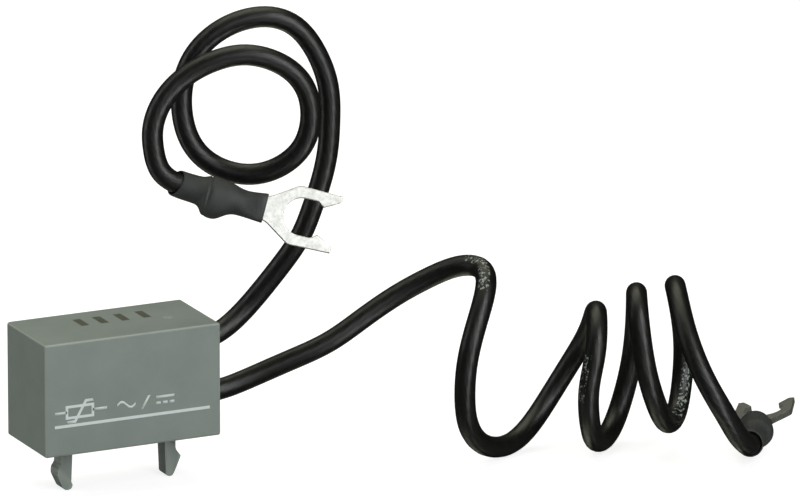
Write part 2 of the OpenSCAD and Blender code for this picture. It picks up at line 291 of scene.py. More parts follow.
def insulation(name, length, chafed=()):
    """length is the wire's, in millimetres, and chafed has the worn places on it."""
    made, tree, shader = material(name)
    along, turn = add(tree, "SeparateXYZ", {0: add(tree, "UVMap").outputs[0]}).outputs[:2]
    turns = add(tree, "Math", {0: along, 1: length / LAY, 2: turn}, operation="MULTIPLY_ADD").outputs[0]
    ribs = add(tree, "Math", {0: turns, 1: 2 * math.pi * STRANDS}, operation="MULTIPLY").outputs[0]
    wave = add(tree, "Math", {0: ribs}, operation="SINE").outputs[0]
    lengthwise = add(tree, "Math", {0: along, 1: length / MARK}, operation="MULTIPLY").outputs[0]
    across = add(tree, "Math", {0: turn, 1: BROKEN}, operation="MULTIPLY").outputs[0]
    drawn = add(tree, "CombineXYZ", {0: lengthwise, 1: across}).outputs[0]
    marks = add(tree, "TexNoise", {"Vector": drawn, "Scale": 1, "Detail": 2}).outputs[0]
    shade = add(tree, "MapRange", {0: marks, 1: 0.35, 2: 0.75}).outputs[0]
    base = add(tree, "MixRGB", {0: shade, 1: linear("#030303"), 2: linear("#080807")}).outputs[0]
    if chafed:
        flecks = chafe(tree, along, turn, chafed)
        base = add(tree, "MixRGB", {0: flecks, 1: base, 2: linear("#8B928E")}).outputs[0]
    tree.links.new(base, shader.inputs["Base Color"])
    rough = add(tree, "MapRange", {0: marks, 1: 0.3, 2: 0.7, 3: 0.37, 4: 0.47}).outputs[0]
    tree.links.new(rough, shader.inputs["Roughness"])
    ribbed = add(tree, "Bump", {"Height": wave, "Distance": 0.000012, "Strength": 0.3}).outputs[0]
    marked = {"Height": marks, "Distance": 0.00003, "Strength": 0.3, "Normal": ribbed}
    bump = add(tree, "Bump", marked).outputs[0]
    tree.links.new(bump, shader.inputs["Normal"])
    shader.inputs["IOR"].default_value = 1.5
    print("material", name)
    return made


CHAFED = [(0.203, 0.2, 0.018, 0.09), (0.483, 0.53, 0.011, 0.07), (0.756, 0.19, 0.026, 0.08)]
pvc_upper = insulation("pvc_insulation_black_upper", length_of(upper_line))
pvc_lower = insulation("pvc_insulation_black_lower", length_of(lower_line), CHAFED)

# %% [markdown]
# ## From a route to a tube
# Blender can sweep a circle along a curve object: the curve's bevel depth is the wire's radius.
# The result is turned into a mesh, because a mesh can be exported,
# and it keeps the UV map that the sweep gives it.

# %% Tubes along the routes


def wire(name, line, finish, node):
    """A round tube along the line, closed at both ends, in place of a CAD node."""
    curve = bpy.data.curves.new(name + "_line", "CURVE")
    curve.dimensions = "3D"
    curve.bevel_depth = LEAD_D / 2 * MM
    curve.bevel_resolution = 8
    curve.use_fill_caps = True
    spline = curve.splines.new("POLY")
    spline.points.add(len(line) - 1)
    for point, p in zip(spline.points, line):
        point.co = (*(p * MM), 1)
    spline.use_smooth = True
    holder = bpy.data.objects.new(name + "_line", curve)
    bpy.context.collection.objects.link(holder)
    mesh = bpy.data.meshes.new_from_object(holder.evaluated_get(bpy.context.evaluated_depsgraph_get()))
    bpy.data.objects.remove(holder)
    mesh.name = name
    mesh.shade_smooth()
    mesh.materials.clear()
    mesh.materials.append(finish)
    made = bpy.data.objects.new(name, mesh)
    bpy.context.collection.objects.link(made)
    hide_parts(node)
    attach(made, "root")
    print(name, len(mesh.polygons), "faces, UV map", [u.name for u in mesh.uv_layers])
    return made


upper_wire = wire("upper_wire", upper_line, pvc_upper, "lead_upper")
lower_wire = wire("lower_wire", lower_line, pvc_lower, "lead_lower")

# %% [markdown]
# ## The housing
# The housing is a cup that lies on its side: five walls, with its open end where the leads come out.
# A cube is stretched to size, its open end is inset by the wall's thickness and pushed in,
# and its edges are rounded.
# A Boolean could cut the hollow too, but this way leaves only clean corners, which a bevel needs.
# The real edges are not all equally sharp: the back left one is twice as round as the others.
# So that one is rounded first, and all that is still sharp on the outside follows.
# Last, each vertex gets its painted edge highlight:
# how far its normal leans away from all three axes, which is most in mid-rounding.

# %% The cup's walls
BODY_L, BODY_W, BODY_H, WALL = 25, 12.4, 15.18, 1.2
# how far the real left end, back and underside lie beyond those sizes
LEFT, BEHIND, BELOW = 0.15, 0.25, 0.15


def push(bm, grown, move):
    """Moves the new vertices of an extrusion."""
    bmesh.ops.translate(bm, vec=move, verts=[v for v in grown["geom"] if isinstance(v, bmesh.types.BMVert)])


bm = bmesh.new()
bmesh.ops.create_cube(bm, size=1)
bmesh.ops.scale(bm, vec=(BODY_L, BODY_W, BODY_H), verts=bm.verts)
bmesh.ops.translate(bm, vec=(0, 0, BODY_H / 2), verts=bm.verts)
outer = bm.edges[:]
mouth = [f for f in bm.faces if f.normal.x > 0.9]
bmesh.ops.inset_region(bm, faces=mouth, thickness=WALL, depth=0, use_even_offset=True)
pushed = bmesh.ops.extrude_face_region(bm, geom=mouth)
bmesh.ops.delete(bm, geom=mouth, context="FACES_ONLY")
push(bm, pushed, (-BODY_L + WALL, 0, 0))
bmesh.ops.recalc_face_normals(bm, faces=bm.faces)
print("cup of", len(bm.faces), "faces before its edges are rounded")

# %% The cup's edges
# radii of most edges, of the back left one, and of the rim round the hollow
EDGE_R, BACK_EDGE_R, RIM_R = 0.3, 0.6, 0.12
# an edge is sharp when its faces turn by more than 1.2 radians, about 70 degrees
SHARP = 1.2
# a vertex that leans less than FLAT gets no painted highlight, and one that leans SPREAD more gets it fully
FLAT, SPREAD = 0.03, 0.12
# lengths that differ by less are the same
SAME = 0.001


def rounded(bm, edges, radius, segments):
    bmesh.ops.bevel(
        bm, geom=edges, offset=radius, segments=segments, profile=0.5, affect="EDGES", material=-1,
        clamp_overlap=True,
    )


def inside(v):
    """Whether a vertex lies further in than half-way through the walls."""
    half = WALL / 2
    in_x, in_y = v.co.x > half - BODY_L / 2, abs(v.co.y) < BODY_W / 2 - half
    return in_x and in_y and half < v.co.z < BODY_H - half


rim = [e for e in bm.edges if all(inside(v) and v.co.x > BODY_L / 2 - SAME for v in e.verts)]
rounded(bm, rim, RIM_R, 2)
for v in {v for e in outer for v in e.verts}:
    v.co.x -= LEFT if v.co.x < 0 else 0
    v.co.y += BEHIND if v.co.y > 0 else 0
    v.co.z -= BELOW if v.co.z < BODY_H / 2 else 0
rounded(bm, [e for e in outer if all(v.co.x < 0 and v.co.y > 0 for v in e.verts)], BACK_EDGE_R, 6)
bm.normal_update()
sharp = [e for e in bm.edges if e.calc_face_angle(0) > SHARP and not any(inside(v) for v in e.verts)]
rounded(bm, sharp, EDGE_R, 5)
bm.normal_update()
# each vertex's painted edge highlight: paler where its normal leans off the axes
painted_edge_highlight = bm.verts.layers.float.new("painted_edge_highlight")
for v in bm.verts:
    lean = 1 - max(abs(a) for a in v.normal)
    v[painted_edge_highlight] = 0 if inside(v) else min(max((lean - FLAT) / SPREAD, 0), 1)
case = piece("housing_shell", bm, moulding, ["housing"], weighted=True)

# %% [markdown]
# ## The snap legs
# Two springy legs stand under the housing and belong to the same moulding.
# Each has an outward catch with a square shoulder, and a ramp down to a rounded toe.
# A leg is drawn as a side view, its corners are rounded, and it is pushed out to its width.
# A Boolean joins it to the cup, so that no seam shows where the shank runs into the wall.

# %% Side views of the legs
LEGS_SPAN, LEG_W, LEG_EDGE_R = 16.46, 2.3, 0.1
# Each corner of a leg's side view, with the radius that rounds it.
# 0 is the outer face of the left leg's shank.
# The two legs come from cavities that were worn apart: one has a blunt catch and a heel, one a sharp catch.
LEFT_LEG = [
    (0, 0.4, 0), (0, -2.95, 0.3), (-0.46, -3.55, 0.2), (-0.54, -4.4, 0.25), (0.4, -6.45, 0.4),
    (1.2, -6.5, 0.3), (1.62, -6.15, 0.28), (1.62, -5.7, 0.2), (1.42, -5.45, 0.15), (1.45, -5.2, 0.1),
    (1.62, -1.5, 0.1), (1.62, 0.4, 0),
]
RIGHT_LEG = [
    (0, 0.4, 0), (0, -2.85, 0.3), (-0.72, -3.82, 0.1), (-0.7, -4.0, 0.08), (0.24, -6.1, 0.3),
    (0.55, -6.5, 0.3), (1.4, -6.5, 0.55), (1.44, -5.2, 0.2), (1.6, -1.5, 0.1), (1.6, 0.4, 0),
]
print("a leg is drawn with", len(LEFT_LEG), "or", len(RIGHT_LEG), "corners")

# %% The snap legs


def corner(bm, vert, radius):
    """Rounds a corner of a flat outline, before the outline is given its thickness."""
    bmesh.ops.bevel(bm, geom=[vert], offset=radius, segments=4, profile=0.5, affect="VERTICES", material=-1)


def thicken(bm, move):
    """Gives the flat outline in bm a thickness."""
    push(bm, bmesh.ops.extrude_face_region(bm, geom=bm.faces[:]), move)
    bmesh.ops.recalc_face_normals(bm, faces=bm.faces)


def leg(outline, side):
    """A leg from its side view: on the left as drawn for side -1, mirrored to the right for side 1."""
    bm = bmesh.new()
    corners = [bm.verts.new((x, 0, z)) for x, z, r in outline]
    bm.faces.new(corners)
    for v, (x, z, r) in zip(corners, outline):
        if r:
            corner(bm, v, r)
    thicken(bm, (0, LEG_W, 0))
    bmesh.ops.translate(bm, vec=(-LEGS_SPAN / 2, -LEG_W / 2, 0), verts=bm.verts)
    bmesh.ops.scale(bm, vec=(-side, 1, 1), verts=bm.verts)
    bmesh.ops.recalc_face_normals(bm, faces=bm.faces)
    rounded(bm, [e for e in bm.edges if abs(e.verts[0].co.y - e.verts[1].co.y) < SAME], LEG_EDGE_R, 2)
    return solid("leg", bm, moulding)


for outline, side in ((LEFT_LEG, -1), (RIGHT_LEG, 1)):
    tool = leg(outline, side)
    join = case.modifiers.new("join", "BOOLEAN")
    join.operation, join.solver, join.object = "UNION", "EXACT", tool
    case.modifiers.move(len(case.modifiers) - 1, 0)
    joined = bpy.data.meshes.new_from_object(case.evaluated_get(bpy.context.evaluated_depsgraph_get()))
    case.modifiers.remove(join)
    case.data = joined
    bpy.data.objects.remove(tool)
case.data.shade_smooth()
print("housing with its legs:", len(case.data.polygons), "faces")

# %% [markdown]
# ## Cast resin and what lies in it
# The cup is filled with a black epoxy resin that sets level, a little below the rim.
# While it was liquid it climbed the walls and the leads by about half a millimetre, and it set like that.
# The eye gets a dark flat face with a dull shine, and soft fillets where it meets its neighbours.
# The varistor, its legs and the splices are guessed and out of sight, and get plain finishes of their kind.
# Those solids stay as they are: only the materials in their slots are exchanged.

# %% Materials of the resin and the inside


def plain(name, first, second, scale, rough, metal, depth):
    """A finish with two close shades and a slight unevenness, scale to the metre."""
    made, tree, shader = material(name)
    place = add(tree, "TexCoord").outputs["Object"]
    blotch = {"Vector": place, "Scale": scale, "Detail": 4, "Roughness": 0.6}
    blotch = add(tree, "TexNoise", blotch).outputs[0]
    base = add(tree, "MixRGB", {0: blotch, 1: linear(first), 2: linear(second)}).outputs[0]
    tree.links.new(base, shader.inputs["Base Color"])
    shine = add(tree, "MapRange", {0: blotch, 1: 0.3, 2: 0.7, 3: rough - 0.08, 4: rough + 0.08}).outputs[0]
    tree.links.new(shine, shader.inputs["Roughness"])
    bump = add(tree, "Bump", {"Height": blotch, "Distance": depth, "Strength": 0.4}).outputs[0]
    tree.links.new(bump, shader.inputs["Normal"])
    shader.inputs["Metallic"].default_value = metal
    return made


# name, two shades, noise scale, roughness, metal or not, and the depth of the unevenness in metres
resin = plain("epoxy_cast_black", "#1C1E1D", "#262827", 500, 0.42, 0, 0.00006)
INSIDE = {
    "potting": resin,
    "varistor_disc": plain("epoxy_dipped_blue", "#1B3970", "#24478A", 900, 0.3, 0, 0.00003),
    "varistor_leg": plain("copper_wire_tinned", "#BFC0C2", "#D0D1D2", 3000, 0.3, 1, 0.00001),
    "splice": plain("brass_crimp_tinned", "#A9AAAC", "#C0C1C2", 2000, 0.38, 1, 0.00002),
    "strand": plain("copper_stranded_bare", "#A9673B", "#C58A5C", 4000, 0.35, 1, 0.00003),
    "tip": plain("copper_stranded_crimped", "#A9673B", "#C58A5C", 4000, 0.35, 1, 0.00003),
}
for name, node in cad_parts.items():
    for kind, finish in INSIDE.items():
        if name.startswith(kind):
            for slot in node.material_slots:
                slot.material = finish
print("finishes of the inside:", len(INSIDE))

# %% [markdown]
# ## Where the resin crept up
# The fillet round a lead is a quarter circle, hollow towards the corner, that is spun once round the lead.
# The fillet along the walls is made of three rectangles, each a little smaller and lower,
# bridged one to the next.
# Both are a piece of their own, because the resin's solid comes from the CAD model and stays as it is.

# %% The resin's edge
# the resin's face, how far it climbed the walls, the fillet round a lead, and the leads' heights
RESIN_X, CLIMB, FILLET = 12.1, 0.35, 0.7
EXITS = (4, 11)


def ring_edges(verts):
    """The edges between these vertices."""
    return list({e for v in verts for e in v.link_edges if all(w in verts for w in e.verts)})


bm = bmesh.new()
for z in EXITS:
    foot = z + LEAD_D / 2 + FILLET
    start = bm.verts.new((RESIN_X, 0, foot))
    bmesh.ops.spin(
        bm, geom=[start], cent=(RESIN_X + FILLET, 0, foot), axis=(0, 1, 0), angle=math.radians(-90), steps=6
    )
    profile = [e for e in bm.edges if e.is_wire]
    profile += list({v for e in profile for v in e.verts})
    bmesh.ops.spin(
        bm, geom=profile, cent=(0, 0, z), axis=(1, 0, 0), angle=2 * math.pi, steps=40, use_merge=True
    )
half_y, half_z = BODY_W / 2 - WALL, BODY_H / 2 - WALL
for inset, up in ((0, CLIMB), (CLIMB * 0.3, CLIMB * 0.3), (CLIMB, 0)):
    loop = bmesh.ops.create_grid(bm, x_segments=1, y_segments=1, size=1)["verts"]
    bmesh.ops.delete(bm, geom=list({f for v in loop for f in v.link_faces}), context="FACES_ONLY")
    turn = Matrix.Translation((RESIN_X + up, 0, BODY_H / 2)) @ Matrix.Rotation(math.radians(90), 4, "Y")
    bmesh.ops.transform(bm, matrix=turn @ Matrix.Diagonal((half_z - inset, half_y - inset, 1, 1)), verts=loop)
    rim = ring_edges(loop)
    if inset:
        bmesh.ops.bridge_loops(bm, edges=rim + last_rim)
    last_rim = rim
bmesh.ops.recalc_face_normals(bm, faces=bm.faces)
piece("resin_meniscus", bm, resin)

# %% [markdown]
# ## Where a terminal sits
# A terminal continues its lead:
# it starts at the lead's end, runs on in the same direction, and is rolled about it.
# A small matrix holds that place, so that a terminal can be drawn lying along +X and then put on its lead.
# Behind the lead's end, the heat-shrink follows the lead itself, which still bends a little there.

# %% The terminals' places


def looking(at, along, side):
    """A matrix at a point with +X along the lead and +Y as near to side as it can be."""
    x = along.normalized()
    y = (side - x * side.dot(x)).normalized()
    return Matrix.Translation(at) @ Matrix((x, y, x.cross(y))).transposed().to_4x4()


def place_of_end(points, roll):
    """The place at the end of a lead, rolled by so many degrees from lying level."""
    end, before = Vector(points[-1]), Vector(points[-2])
    along = (end - before).normalized()
    level = Vector((0, 0, 1)).cross(along).normalized()
    return looking(end, along, Matrix.Rotation(math.radians(roll), 3, along) @ level)


def on_lead(line, end, s):
    """The place s millimetres past the lead's end, or behind it along the lead where s is below 0."""
    if s >= 0:
        return end @ Matrix.Translation((s, 0, 0))
    back, i = -s, len(line) - 1
    while back > (line[i] - line[i - 1]).length:
        back -= (line[i] - line[i - 1]).length
        i -= 1
    along = (line[i] - line[i - 1]).normalized()
    return looking(line[i] - along * back, along, end.to_3x3() @ Vector((0, 1, 0)))


# degrees from lying level
UPPER_ROLL, LOWER_ROLL = 70.5, -8.5
upper_end, lower_end = place_of_end(UPPER, UPPER_ROLL), place_of_end(LOWER, LOWER_ROLL)
for end in (upper_end, lower_end):
    print("a terminal starts at", [round(c, 1) for c in end.translation])

# %% [markdown]
# ## Heat-shrink sleeves
# A sleeve of black polyolefin was slipped over the crimp and shrunk with hot air,
# so it shows every step beneath it.
# It grips the insulation, stands out over the crimped barrel with a groove in the lump,
# and flattens on the plate.
# The mouth on the lead's side was cut by hand and leans a little.
# The eye gets a matt charcoal skin, clearly paler than the shiny leads, with smears of 1.7 mm
# and a grain of 0.17 mm.
# A round tube along the lead would be too even for such a lump.
# So the sleeve's rings of vertices are ovals with a height and width of their own,
# bridged one to the next and then subdivided.

# %% Material of the sleeves
shrink, tree, shader = material("polyolefin_heat_shrink_black")
place = add(tree, "TexCoord").outputs["Object"]
smear = add(tree, "TexNoise", {"Vector": place, "Scale": 600, "Detail": 4, "Roughness": 0.6}).outputs[0]
fine = add(tree, "TexNoise", {"Vector": place, "Scale": 6000, "Detail": 2}).outputs[0]
base = add(tree, "MixRGB", {0: smear, 1: linear("#222424"), 2: linear("#343737")}).outputs[0]
tree.links.new(base, shader.inputs["Base Color"])
rough = add(tree, "MapRange", {0: smear, 1: 0.3, 2: 0.7, 3: 0.5, 4: 0.66}).outputs[0]
tree.links.new(rough, shader.inputs["Roughness"])
height = add(tree, "Math", {0: smear, 1: 0.6, 2: fine}, operation="MULTIPLY_ADD").outputs[0]
bump = add(tree, "Bump", {"Height": height, "Distance": 0.00006, "Strength": 0.6}).outputs[0]
tree.links.new(bump, shader.inputs["Normal"])
print("material", shrink.name)

# %% The sleeves' ovals
# Each row: distance past the lead's end, reach to +Y, to -Y, to +Z and to -Z,
# and how square the oval is (1 is round).
# The first table is the skin from its mouth on the lead to its end on the plate,
# the second the way back inside.
OUTSIDE = [
    (-3.5, 1.74, 1.74, 1.74, 1.74, 1), (-3.38, 1.84, 1.84, 1.84, 1.84, 1),
    (-2.2, 1.84, 1.84, 1.84, 1.84, 1), (-0.6, 1.86, 1.86, 1.86, 1.86, 1),
    (-0.1, 1.9, 1.98, 1.95, 1.92, 1), (0.3, 2.05, 2.4, 2.05, 2.05, 0.97),
    (0.55, 2.16, 2.86, 2.2, 2.15, 0.95), (0.85, 2.3, 3.08, 2.31, 2.22, 0.92),
    (1.03, 2.08, 3.02, 2.1, 2.03, 0.92), (1.22, 2.34, 3.16, 2.35, 2.26, 0.92),
    (1.65, 2.37, 3.22, 2.38, 2.28, 0.92), (2.2, 2.3, 3.24, 2.34, 2.26, 0.92),
    (2.8, 2.24, 3.05, 2.3, 2.24, 0.92), (3.4, 2.16, 2.6, 2.24, 2.2, 0.92),
    (4.0, 2.02, 2.18, 2.14, 2.1, 0.94), (4.7, 1.8, 1.92, 1.98, 1.94, 0.96),
    (5.5, 1.6, 1.9, 1.8, 1.8, 0.96), (6.5, 1.62, 1.92, 1.25, 1.75, 0.85),
    (7.6, 1.82, 1.96, 0.22, 1.72, 0.72), (8.3, 1.94, 1.99, -0.2, 1.76, 0.65),
    (8.6, 1.97, 2.0, -0.24, 1.76, 0.6), (8.72, 1.92, 1.95, -0.3, 1.7, 0.6),
]
INSIDE_OUT = [
    (8.7, 1.74, 1.76, -0.5, 1.5, 0.6), (8.2, 1.68, 1.68, -0.56, 1.44, 0.6), (6, 1.5, 1.5, 1.1, 1.5, 0.8),
    (5.3, 1.64, 1.64, 1.64, 1.64, 1), (0, 1.64, 1.64, 1.64, 1.64, 1), (-0.3, 1.45, 1.45, 1.45, 1.45, 1),
    (-2.6, 1.44, 1.44, 1.44, 1.44, 1), (-3.46, 1.52, 1.52, 1.52, 1.52, 1),
]
print("a sleeve has", len(OUTSIDE + INSIDE_OUT), "ovals")

# %% The sleeves
# a sleeve is pressed flat below PRESSED_Z, the rows before MOUTH are its mouth,
# and a reach beyond LUMP is the crimp's swelling
PRESSED_Z, MOUTH, LUMP = -2.3, -3, 2


def swollen(reach, share):
    """A reach with only this share of the swelling."""
    return min(reach, LUMP) + max(reach - LUMP, 0) * share


def sleeve(name, line, end, node, push_out, lift, slant, longer):
    """push_out and lift are the crimp's shares to -Y and +Z. The mouth leans by slant, and lies longer mm
    further up the lead."""
    bm = bmesh.new()
    rings = []
    for s, up, down, top, bottom, power in OUTSIDE + INSIDE_OUT:
        down, top = swollen(down, push_out), swollen(top, lift)
        at_mouth = s < MOUTH
        verts = bmesh.ops.create_circle(bm, segments=28, radius=1)["verts"]
        for v in verts:
            y, z = v.co.x, v.co.y
            y = math.copysign(abs(y) ** power, y) * (up + down) / 2 + (up - down) / 2
            z = math.copysign(abs(z) ** power, z) * (top + bottom) / 2 + (top - bottom) / 2
            v.co = (slant * z if at_mouth else 0, y, max(z, PRESSED_Z))
        bmesh.ops.transform(bm, matrix=on_lead(line, end, s - longer if at_mouth else s), verts=verts)
        rings.append(ring_edges(verts))
    for a, b in zip(rings, rings[1:] + rings[:1]):
        bmesh.ops.bridge_loops(bm, edges=a + b)
    bmesh.ops.recalc_face_normals(bm, faces=bm.faces)
    made = piece(name, bm, shrink, [node])
    smooth = made.modifiers.new("smooth", "SUBSURF")
    smooth.levels = smooth.render_levels = 2
    return made


upper_sleeve = sleeve(
    "upper_sleeve", upper_line, upper_end, "sleeve_upper", push_out=1, lift=1, slant=0.4, longer=0
)
lower_sleeve = sleeve(
    "lower_sleeve", lower_line, lower_end, "sleeve_lower", push_out=0.6, lift=0, slant=0.1, longer=0.6
)

# %% [markdown]
# ## Locking fork terminals
# A fork is stamped from 0.8 mm brass sheet, and its barrel is rolled from the same strip
# and crimped on the wire.
# Then it is tinned. Hooks inside its prongs keep it under a loosened screw.
# The eye gets a bright, soft metal with rounded stamped edges.
# The bloom of the tin mottles it in patches of 0.7 mm.
# Both halves of a fork are alike, so half of the outline is drawn and its seat is spun from one point.
# Then it is mirrored, thickened, and its rims are bevelled.

# %% Material of the forks
tin_plate, tree, shader = material("tin_plate_bright")
place = add(tree, "TexCoord").outputs["Object"]
bloom = add(tree, "TexNoise", {"Vector": place, "Scale": 1500, "Detail": 5, "Roughness": 0.7}).outputs[0]
fine = add(tree, "TexNoise", {"Vector": place, "Scale": 6000, "Detail": 3}).outputs[0]
cloud = add(tree, "MapRange", {0: bloom, 1: 0.35, 2: 0.6}).outputs[0]
base = add(tree, "MixRGB", {0: cloud, 1: linear("#CFD0CC"), 2: linear("#E6E7E3")}).outputs[0]
tree.links.new(base, shader.inputs["Base Color"])
shine = add(tree, "MapRange", {0: cloud, 3: 0.4, 4: 0.33}).outputs[0]
tree.links.new(shine, shader.inputs["Roughness"])
bump = add(tree, "Bump", {"Height": fine, "Distance": 0.00001, "Strength": 0.25}).outputs[0]
tree.links.new(bump, shader.inputs["Normal"])
shader.inputs["Metallic"].default_value = 1
print("material", tin_plate.name)

# %% A fork's plate
# the seat's middle past the lead's end, the plate's lower face, its thickness and its rounded rims
SEAT_X, PLATE_LOW, PLATE_T, STAMPED_R = 13.6, -1.4, 0.8, 0.13
SEAT_STEPS = 14
# The outline's upper half, with the radius that rounds each corner. 0 is the middle of the seat.
FORK = [
    (-9.8, 0, 0), (-9.8, 1.35, 0), (-6.4, 1.35, 0.4), (-4.6, 1.65, 0.6), (-1.1, 3.95, 0.4),
    (4.65, 3.8, 0.12), (4.65, 3.0, 0.2), (2.5, 1.8, 0.15), (1.6, 2.45, 0.2), (0, 2.45, 0),
]


def plate():
    """The stamped plate, lying along +X from the lead's end."""
    bm = bmesh.new()
    corners = [bm.verts.new((x, y, 0)) for x, y, r in FORK]
    seat = {"cent": (0, 0, 0), "axis": (0, 0, 1), "angle": math.pi / 2, "steps": SEAT_STEPS}
    bmesh.ops.spin(bm, geom=[corners[-1]], **seat)
    chain = [corners[-1]]
    while len(chain) <= SEAT_STEPS:
        beside = [e.other_vert(chain[-1]) for e in chain[-1].link_edges]
        chain.append(next(v for v in beside if v not in chain))
    bm.faces.new(corners + chain[1:])
    for v, (x, y, r) in zip(corners, FORK):
        if r:
            corner(bm, v, r)
    half = bmesh.ops.duplicate(bm, geom=bm.faces[:] + bm.edges[:] + bm.verts[:])["geom"]
    bmesh.ops.scale(bm, vec=(1, -1, 1), verts=[v for v in half if isinstance(v, bmesh.types.BMVert)])
    bmesh.ops.remove_doubles(bm, verts=bm.verts, dist=SAME)
    bmesh.ops.recalc_face_normals(bm, faces=bm.faces)
    bmesh.ops.dissolve_edges(bm, edges=[e for e in bm.edges if len(e.link_faces) == 2])
    thicken(bm, (0, 0, PLATE_T))
    rounded(bm, [e for e in bm.edges if abs(e.verts[0].co.z - e.verts[1].co.z) < SAME], STAMPED_R, 3)
    bmesh.ops.translate(bm, vec=(SEAT_X, 0, PLATE_LOW), verts=bm.verts)
    return bm


print("half of a fork is drawn with", len(FORK), "corners")

# %% A fork's barrel
# the barrel from x to x, its inner and outer radius, and the gap of its seam in degrees
BARREL, SEAM = (0.2, 5.2, 0.8, 1.6), 6


def add_barrel(bm):
    """A strip's end view, spun nearly all the way round, which leaves the seam."""
    x0, x1, r0, r1 = BARREL
    strip = bm.faces.new([bm.verts.new(c) for c in ((x0, 0, r0), (x1, 0, r0), (x1, 0, r1), (x0, 0, r1))])
    lean = Matrix.Rotation(math.radians(SEAM / 2), 3, "X")
    bmesh.ops.rotate(bm, cent=(0, 0, 0), matrix=lean, verts=strip.verts)
    roll = {"cent": (0, 0, 0), "axis": (1, 0, 0), "angle": math.radians(360 - SEAM), "steps": 40}
    bmesh.ops.spin(bm, geom=[strip, *strip.edges, *strip.verts], **roll)
    bmesh.ops.recalc_face_normals(bm, faces=bm.faces)


print("a barrel is", BARREL[1] - BARREL[0], "mm long")

# %% The forks


def fork(name, end, node):
    bm = plate()
    add_barrel(bm)
    bmesh.ops.transform(bm, matrix=end, verts=bm.verts)
    return piece(name, bm, tin_plate, [node], weighted=True)


# both plates were crimped a little askew
upper_askew = Matrix.Translation((0, -0.15, 0)) @ Matrix.Rotation(math.radians(1.2), 4, "Z")
lower_askew = Matrix.Rotation(math.radians(-2), 4, "Z")
upper_fork = fork("upper_fork", upper_end @ upper_askew, "fork_upper")
lower_fork = fork("lower_fork", lower_end @ lower_askew, "fork_lower")

# %% [markdown]
# ## The print on the face
# The face carries pad-printed signs in a pale grey ink, and a rule line under them.
# They are the circuit symbol of a varistor, a wave for alternating current,
# and a bar over dashes for direct current.
# The ink lies 0.02 mm proud of the moulding, and the eye gets an even matt grey.
# It could be an image on the face, but strokes with a shape of their own stay sharp from close by.
# A stroke is a line of edges that is pushed sideways, so that it gets its width in one step.
# The symbol's box is a face with an inset, whose middle is taken out.

# %% Material of the print
ink, tree, shader = material("pad_print_pale_grey")
place = add(tree, "TexCoord").outputs["Object"]
cover = add(tree, "TexNoise", {"Vector": place, "Scale": 3000, "Detail": 3}).outputs[0]
base = add(tree, "MixRGB", {0: cover, 1: linear("#C2CACA"), 2: linear("#CED6D6")}).outputs[0]
tree.links.new(base, shader.inputs["Base Color"])
shader.inputs["Roughness"].default_value = 0.55
print("material", ink.name)

# %% The signs' strokes
STROKE, INK_T = 0.36, 0.02
# one period of a sine, in twelve steps
WAVE = [(-2.4 + 0.22 * i, 5.6 + 0.42 * math.sin(i * math.pi / 6)) for i in range(13)]
BOX = ((-9.75, 4.8), (-5.68, 4.8), (-5.68, 6.66), (-9.75, 6.66))
SLANTED = [(-9.48, 4.25), (-8.3, 4.25), (-6.75, 6.92), (-5.72, 6.92)]
# Each stroke by its lower edge as (x, z) on the face, and the step that gives its width.
STROKES = [
    ([(-11.3, 5.57), (-9.57, 5.57)], (0, STROKE)),
    ([(-5.86, 5.57), (-3.85, 5.57)], (0, STROKE)),
    ([(-11.3, 3.72), (10.9, 3.72)], (0, 0.4)),
    (WAVE, (0, STROKE)),
    ([(1.3, 4.85), (2.4, 6.65)], (-STROKE, 0)),
    ([(3.2, 6.05), (5.8, 6.05)], (0, STROKE)),
    *[([(x, 5.25), (x + 0.66, 5.25)], (0, STROKE)) for x in (3.2, 4.17, 5.14)],
]
print("strokes:", len(STROKES), "and the slanted one")

# %% The print
bm = bmesh.new()


def stroke(points, step):
    verts = [bm.verts.new((x, 0, z)) for x, z in points]
    edges = [bm.edges.new(pair) for pair in zip(verts, verts[1:])]
    push(bm, bmesh.ops.extrude_edge_only(bm, edges=edges), (step[0], 0, step[1]))


for points, step in STROKES:
    stroke(points, step)
box = bm.faces.new([bm.verts.new((x, 0, z)) for x, z in BOX])
box.normal_update()
bmesh.ops.inset_region(bm, faces=[box], thickness=STROKE, depth=0, use_even_offset=True, use_boundary=True)
bmesh.ops.delete(bm, geom=[box], context="FACES_ONLY")
thicken(bm, (0, -INK_T, 0))
# the slanted stroke crosses the box, so its ink lies a little higher there
below = bm.faces[:]
stroke(SLANTED, (-0.2, STROKE))
grown = bmesh.ops.extrude_face_region(bm, geom=[f for f in bm.faces if f not in below])
push(bm, grown, (0, -1.5 * INK_T, 0))
bmesh.ops.recalc_face_normals(bm, faces=bm.faces)
bmesh.ops.translate(bm, vec=(0, -BODY_W / 2, 0), verts=bm.verts)
piece("face_print", bm, ink, weighted=True)

# %% [markdown]
# ## Marks on the top
# Four short bars are stamped across the top in a dark ink that has sunk into the satin of the moulding.
# Each bar is a very flat block, with a quarter of its thickness in the surface.

# %% Marks on the top
stamp = plain("stamped_ink_dark_grey", "#44463C", "#54564B", 3000, 0.5, 0, 0.00001)
# a bar's size, where the four lie along the block, and how far back
BAR, BARS_X, BARS_Y = (1.1, 3.1, 0.02), (-3.9, -1.1, 1.9, 5), 1.9
bm = bmesh.new()
for x in BARS_X:
    bar = bmesh.ops.create_cube(bm, size=1)["verts"]
    bmesh.ops.scale(bm, vec=BAR, verts=bar)
    bmesh.ops.translate(bm, vec=(x, BARS_Y, BODY_H + BAR[2] / 4), verts=bar)
piece("top_marks", bm, stamp, weighted=True)

# %% [markdown]
# ## The floor and the background
# The floor is a pale sheet just under the lowest points of the legs and the coil.
# It adds white of its own to what the camera sees, so that it blends into the white world behind it.
# It keeps a soft shadow, because that light is added to the sheet and doesn't replace it.
# Shiny black leads are a mirror of the room. The real ones show a dim room, and further off a polished table.
# So reflections get a darker world and sheet, and a sheet that turns glossy further than
# 20 mm from the block.

